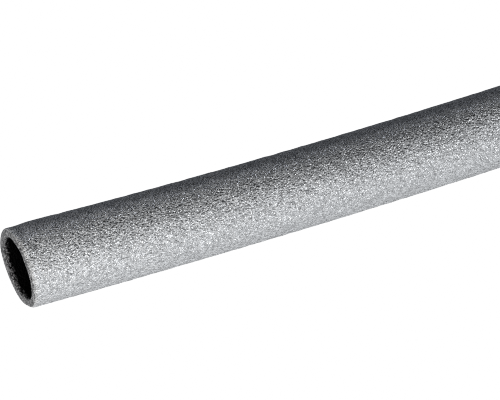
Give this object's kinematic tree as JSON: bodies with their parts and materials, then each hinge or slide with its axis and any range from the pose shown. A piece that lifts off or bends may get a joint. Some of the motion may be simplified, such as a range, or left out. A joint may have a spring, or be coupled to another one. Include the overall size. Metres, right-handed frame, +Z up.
{
  "type": "pipe insulation lagging",
  "caption": "Length of grey polyethylene foam pipe lagging, a round tube with an open bore that slips over a 28 mm heating or water pipe.",
  "frame": {"origin": "on the floor, under the middle of the tube's box", "axes": "+X along the straight stretch of the tube, from the bowed near end to the far end, +Y to the side that the near end bows to, +Z up"},
  "size_m": [1.0004, 0.0496, 0.0358],
  "materials": {
    "foam": "closed-cell polyethylene foam with a fine bumpy skin, dull with a slight waxy sheen, and darker open cells on the cut ends"
  },
  "bodies": {
    "root": {"foam_tube": "foam"}
  },
  "joints": []
}
